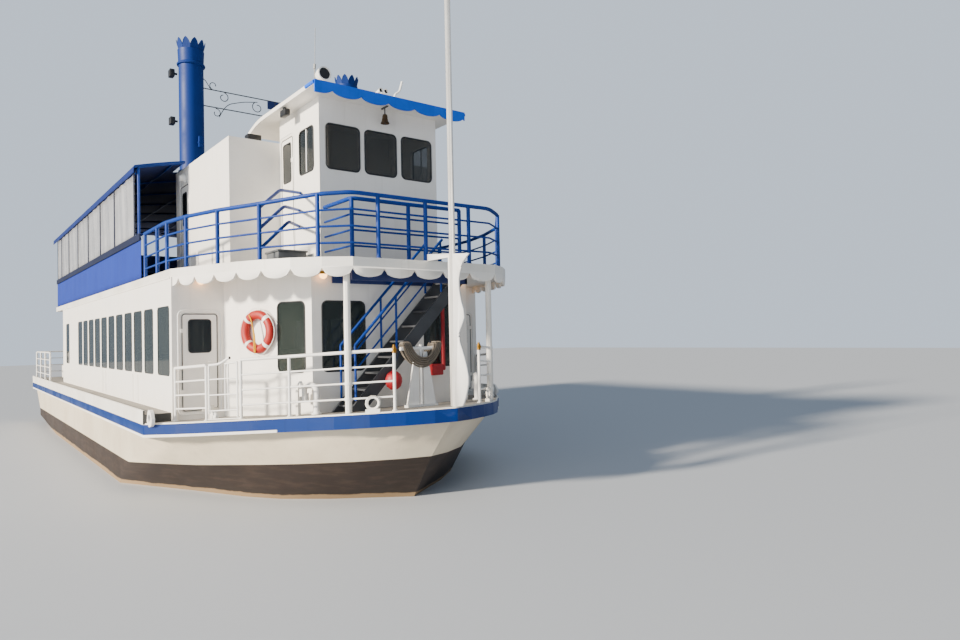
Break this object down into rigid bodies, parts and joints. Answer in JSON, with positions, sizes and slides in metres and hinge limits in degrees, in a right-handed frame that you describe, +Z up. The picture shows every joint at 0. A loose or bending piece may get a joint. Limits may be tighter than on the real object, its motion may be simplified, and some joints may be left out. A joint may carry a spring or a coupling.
{
  "type": "passenger ferry",
  "caption": "Two-deck harbour passenger ferry with a glazed saloon, canopied upper deck, raised pilothouse, twin crowned stacks and a blunt railed bow.",
  "frame": {"origin": "amidships on the centreline, at the waterline", "axes": "+X forward to the bow, +Y to port, +Z up"},
  "size_m": [21.31, 7.34, 10.3954],
  "materials": {
    "white_paint": "satin",
    "blue_paint": "satin",
    "rail_blue": "satin",
    "deck_paint": "matte",
    "dark_paint": "matte",
    "canopy_cloth": "matte",
    "banner_cloth": "matte",
    "curtain_sheet": "gloss",
    "window_glass": "gloss",
    "seat_shell": "matte",
    "rope_fibre": "matte",
    "ring_orange": "matte",
    "bronze": "satin"
  },
  "bodies": {
    "vessel": {"hull": "white_paint", "cabin_aft_wall": "white_paint", "forward_house": "white_paint", "upper_deck": "white_paint", "deck_valance": "white_paint", "stern_rail": "white_paint", "stem_board": "white_paint", "rope_stand": "white_paint", "pilothouse": "white_paint", "casing": "white_paint", "cabin_side_stbd": "white_paint", "cabin_side_port": "white_paint", "foredeck_rail_stbd": "white_paint", "foredeck_rail_port": "white_paint", "rub_band": "blue_paint", "pilothouse_roof": "blue_paint", "stack_stbd": "blue_paint", "stack_port": "blue_paint", "stair_rail_fwd": "rail_blue", "stair_rail_aft": "rail_blue", "canopy_frame": "rail_blue", "upper_rail": "rail_blue", "stairwell_guard": "rail_blue", "aft_rail": "rail_blue", "foredeck": "deck_paint", "main_deck": "deck_paint", "stairs": "dark_paint", "stack_brace": "dark_paint", "searchlight": "dark_paint", "canopy": "canopy_cloth", "side_panel_stbd": "banner_cloth", "side_panel_port": "banner_cloth", "curtain_stbd": "curtain_sheet", "curtain_port": "curtain_sheet", "house_glass": "window_glass", "pilothouse_glass": "window_glass", "cabin_glass_stbd": "window_glass", "cabin_glass_port": "window_glass", "saloon_seats_stbd": "seat_shell", "saloon_seats_port": "seat_shell", "deck_benches_stbd": "seat_shell", "deck_benches_port": "seat_shell", "rope_coil": "rope_fibre", "lifebuoy_stbd": "ring_orange", "lifebuoy_port": "ring_orange"},
    "cabin_door_stbd": {"cabin_door_stbd": "white_paint"},
    "cabin_door_port": {"cabin_door_port": "white_paint"},
    "cabin_door_aft": {"cabin_door_aft": "white_paint"},
    "pilothouse_door_stbd": {"pilothouse_door_stbd": "white_paint"},
    "pilothouse_door_port": {"pilothouse_door_port": "white_paint"},
    "casing_door": {"casing_door": "white_paint"},
    "foredeck_gate_stbd": {"foredeck_gate_stbd": "white_paint"},
    "foredeck_gate_port": {"foredeck_gate_port": "white_paint"},
    "propeller_stbd": {"propeller_stbd": "bronze"},
    "propeller_port": {"propeller_port": "bronze"},
    "rudder_stbd": {"rudder_stbd": "dark_paint"},
    "rudder_port": {"rudder_port": "dark_paint"},
    "radar_scanner": {"radar_scanner": "white_paint"}
  },
  "joints": [
    {"name": "cabin_door_stbd_hinge", "type": "hinge", "parent": "vessel", "child": "cabin_door_stbd", "pos_m": [6.9463, -3.09, 1.5], "axis": [0, 0, 1], "range_deg": [-70, 0]},
    {"name": "cabin_door_port_hinge", "type": "hinge", "parent": "vessel", "child": "cabin_door_port", "pos_m": [6.9463, 3.09, 1.5], "axis": [0, 0, 1], "range_deg": [0, 70]},
    {"name": "cabin_door_aft_hinge", "type": "hinge", "parent": "vessel", "child": "cabin_door_aft", "pos_m": [-6.116, 0.396, 1.56], "axis": [0, 0, 1], "range_deg": [-110, 0]},
    {"name": "pilothouse_door_stbd_hinge", "type": "hinge", "parent": "vessel", "child": "pilothouse_door_stbd", "pos_m": [7.33, -1.216, 3.98], "axis": [0, 0, 1], "range_deg": [0, 100]},
    {"name": "pilothouse_door_port_hinge", "type": "hinge", "parent": "vessel", "child": "pilothouse_door_port", "pos_m": [7.33, 1.216, 3.98], "axis": [0, 0, 1], "range_deg": [-100, 0]},
    {"name": "casing_door_hinge", "type": "hinge", "parent": "vessel", "child": "casing_door", "pos_m": [4.16, -2.176, 3.98], "axis": [0, 0, 1], "range_deg": [0, 105]},
    {"name": "foredeck_gate_stbd_hinge", "type": "hinge", "parent": "vessel", "child": "foredeck_gate_stbd", "pos_m": [8.2597, -2.5845, 2], "axis": [0, 0, 1], "range_deg": [-90, 0]},
    {"name": "foredeck_gate_port_hinge", "type": "hinge", "parent": "vessel", "child": "foredeck_gate_port", "pos_m": [8.2597, 2.5845, 2], "axis": [0, 0, 1], "range_deg": [0, 90]},
    {"name": "propeller_stbd_spin", "type": "hinge", "parent": "vessel", "child": "propeller_stbd", "pos_m": [-7.6905, -1.35, -0.69], "axis": [1, 0, 0], "continuous": true},
    {"name": "propeller_port_spin", "type": "hinge", "parent": "vessel", "child": "propeller_port", "pos_m": [-7.6905, 1.35, -0.69], "axis": [1, 0, 0], "continuous": true},
    {"name": "rudder_stbd_turn", "type": "hinge", "parent": "vessel", "child": "rudder_stbd", "pos_m": [-8.62, -1.35, -0.3], "axis": [0, 0, 1], "range_deg": [-35, 35]},
    {"name": "rudder_port_turn", "type": "hinge", "parent": "vessel", "child": "rudder_port", "pos_m": [-8.62, 1.35, -0.3], "axis": [0, 0, 1], "range_deg": [-35, 35]},
    {"name": "radar_scanner_spin", "type": "hinge", "parent": "vessel", "child": "radar_scanner", "pos_m": [6.9, 0.95, 7.5208], "axis": [0, 0, 1], "continuous": true}
  ],
  "couplings": [
    {"joint": "rudder_port_turn", "follows": "rudder_stbd_turn", "ratio": 1}
  ]
}
